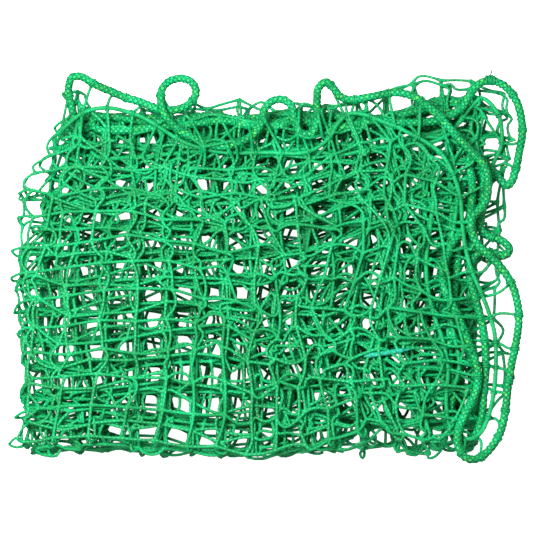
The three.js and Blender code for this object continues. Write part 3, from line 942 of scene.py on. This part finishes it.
def laid_by_ropes(sheet):
    """The top twines lie over the rope at its far side's middle and its inner run at the right."""
    x, y, z = np.moveaxis(sheet, -1, 0)
    far_side = (y > 95) & (x > -85) & (x < 62)
    inner_run = (np.abs(x - 187) < 27) & (np.abs(y + 30) < 95)
    over = TOP_LAYERS & (far_side | inner_run)
    tied = (V < 1) | (U > SHEET_U - 1)
    beside_rope(sheet, np.nonzero(over), True)
    beside_rope(sheet, np.nonzero(~over & ~tied & (z > 40)), False)
    return sheet


EDGE_LINES = edge_lines()
HELD = held_points()
SHEET = settled(pulled_sheet(sagged(slipped(folded_sheet())), EDGE_LINES))
SHEET = relaxed(SHEET, HELD, 260)
SHEET = opened_folds(SHEET)
SHEET[..., 2] = np.maximum(SHEET[..., 2], CROSSING_RADIUS)
SHEET = laid_by_ropes(SHEET)


# ---------------------------------------------------------------- twines as tubes
def finer(lines, first):
    """Twice as many points on smooth lines, which still pass through their crossings."""
    result = np.empty((lines.shape[0], 2 * lines.shape[1] - 1, 3))
    result[:, ::2] = lines
    result[:, 2:-2:2] = (lines[:, :-2] + 6 * lines[:, 1:-1] + lines[:, 2:]) / 8
    at_crossing = -first % LEG_STEPS
    result[:, 2 * at_crossing::2 * LEG_STEPS] = lines[:, at_crossing::LEG_STEPS]
    result[:, 1::2] = (lines[:, :-1] + lines[:, 1:]) / 2
    return result


def add_strands(body, lines, first):
    """Adds netting twines that start at point first of their strand, thicker at each crossing."""
    lines = finer(lines, first)
    steps = np.arange(lines.shape[1]) / 2 + first
    from_crossing = MESH / LEG_STEPS * np.abs((steps + LEG_STEPS / 2) % LEG_STEPS - LEG_STEPS / 2)
    radius = TWINE_RADIUS + (CROSSING_RADIUS - TWINE_RADIUS) * np.exp(-((from_crossing / 3) ** 2))
    body.tubes(lines, radius[None, :, None], 7, start=first * MESH / LEG_STEPS)


def span(folds, count, number):
    """The first and the last point of the sheet that this panel holds, along u or v."""
    marks = [0, *(round(fold * LEG_STEPS) for fold in folds), count * LEG_STEPS]
    return marks[number], marks[number + 1]


# The panel of u and the half of v that each double thickness holds, from the lowest.
FOLD_ORDER = [(0, 0), (0, 1), (1, 1), (1, 0), (2, 0), (2, 1), (3, 1), (3, 0)]
HALVES = (0, round(V_FOLDS[1] * LEG_STEPS), SHEET_V * LEG_STEPS)


def add_edge_wraps(body, panel, half):
    """The turns of netting twine round the rope and the cord at each mesh of this fold's edges."""
    along_u = slice(*span(U_FOLDS, SHEET_U, panel))
    along_v = slice(HALVES[half], HALVES[half + 1])
    edges = [(0 if half == 0 else 2, along_u)]
    if panel in (0, 3):
        edges.append((1 if panel == 3 else 3, along_v))
    for side, reach in edges:
        at_rope, at_cord = EDGE_LINES[EDGES[side]]
        start = math.ceil(reach.start / LEG_STEPS) * LEG_STEPS
        ropes = at_rope[start:reach.stop:LEG_STEPS]
        cords = at_cord[max(start - LEG_STEPS, 0):max(reach.stop - LEG_STEPS, 0):LEG_STEPS]
        for line, points, radius in (
            (ROPE_SIDES[side], ropes, ROPE_DIAMETER / 2 + 0.5),
            (CORD_SIDES[side], cords, CORD_DIAMETER / 2 + 0.6),
        ):
            if len(points):
                axes = axes_at(line, points) + FUZZ.normal(0, 0.12, points.shape)
                body.rings(points - 1.2 * unit(axes), axes, radius, 1.1)
                body.rings(points + 1.2 * unit(axes), axes, radius, 1.1)


def add_netting_fold(number):
    """One double thickness of the folded netting, with the wraps that tie it to its edge cords."""
    panel, half = FOLD_ORDER[number]
    left, right = span(U_FOLDS, SHEET_U, panel)
    low, high = HALVES[half], HALVES[half + 1]
    body = Body()
    rows = [r for r in range(2, SHEET_V - 1) if low < r * LEG_STEPS <= high]
    columns = [c for c in range(2, SHEET_U - 1) if left <= c * LEG_STEPS < right]
    add_strands(body, SHEET[[r * LEG_STEPS for r in rows], left:right + 1], left)
    add_strands(body, SHEET[low:high + 1, [c * LEG_STEPS for c in columns]].swapaxes(0, 1), low)
    add_edge_wraps(body, panel, half)
    piece = body.build(f"netting_fold_{number + 1}_twines", TWINE)
    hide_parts(f"netting_fold_{number + 1}")


for number in range(8):
    add_netting_fold(number)


# ---------------------------------------------------------------- light and ground
def add_area(name, place, aim, size, power):
    """A round lamp at a place, turned to its aim; size in metres and power in watts."""
    data = bpy.data.lights.new(name, "AREA")
    data.shape = "DISK"
    data.size = size
    data.energy = power
    lamp = bpy.data.objects.new(name, data)
    lamp.location = place
    lamp.rotation_euler = (Vector(place) - Vector(aim)).to_track_quat("Z", "Y").to_euler()
    bpy.context.scene.collection.objects.link(lamp)


def add_ground():
    """A plain white surface that the net lies on, seen but giving no light of its own."""
    mesh = bpy.data.meshes.new("ground")
    half = 6.0
    corners = ((-half, -half), (half, -half), (half, half), (-half, half))
    mesh.from_pydata([(x, y, -0.001) for x, y in corners], [], [(0, 1, 2, 3)])
    material, tree, shader = node_material("ground")
    shader.inputs["Base Color"].default_value = (1, 1, 1, 1)
    shader.inputs["Emission Color"].default_value = (1, 1, 1, 1)
    shader.inputs["Emission Strength"].default_value = 1.0
    mesh.materials.append(material)
    ground = bpy.data.objects.new("ground", mesh)
    ground.visible_diffuse = False
    ground.visible_glossy = False
    ground.visible_shadow = False
    bpy.context.scene.collection.objects.link(ground)


def add_light():
    """White light from all sides and one lamp over the far left of the net."""
    world = bpy.data.worlds.new("studio")
    bpy.context.scene.world = world
    world.use_nodes = True
    background = world.node_tree.nodes["Background"]
    background.inputs["Color"].default_value = (1, 1, 1, 1)
    background.inputs["Strength"].default_value = 0.5
    add_area("over", (-0.6, 0.15, 1.8), (0, 0, 0), 0.8, 57)
    bpy.context.scene.view_settings.view_transform = "Standard"
    bpy.context.scene.view_settings.look = "None"


add_ground()
add_light()
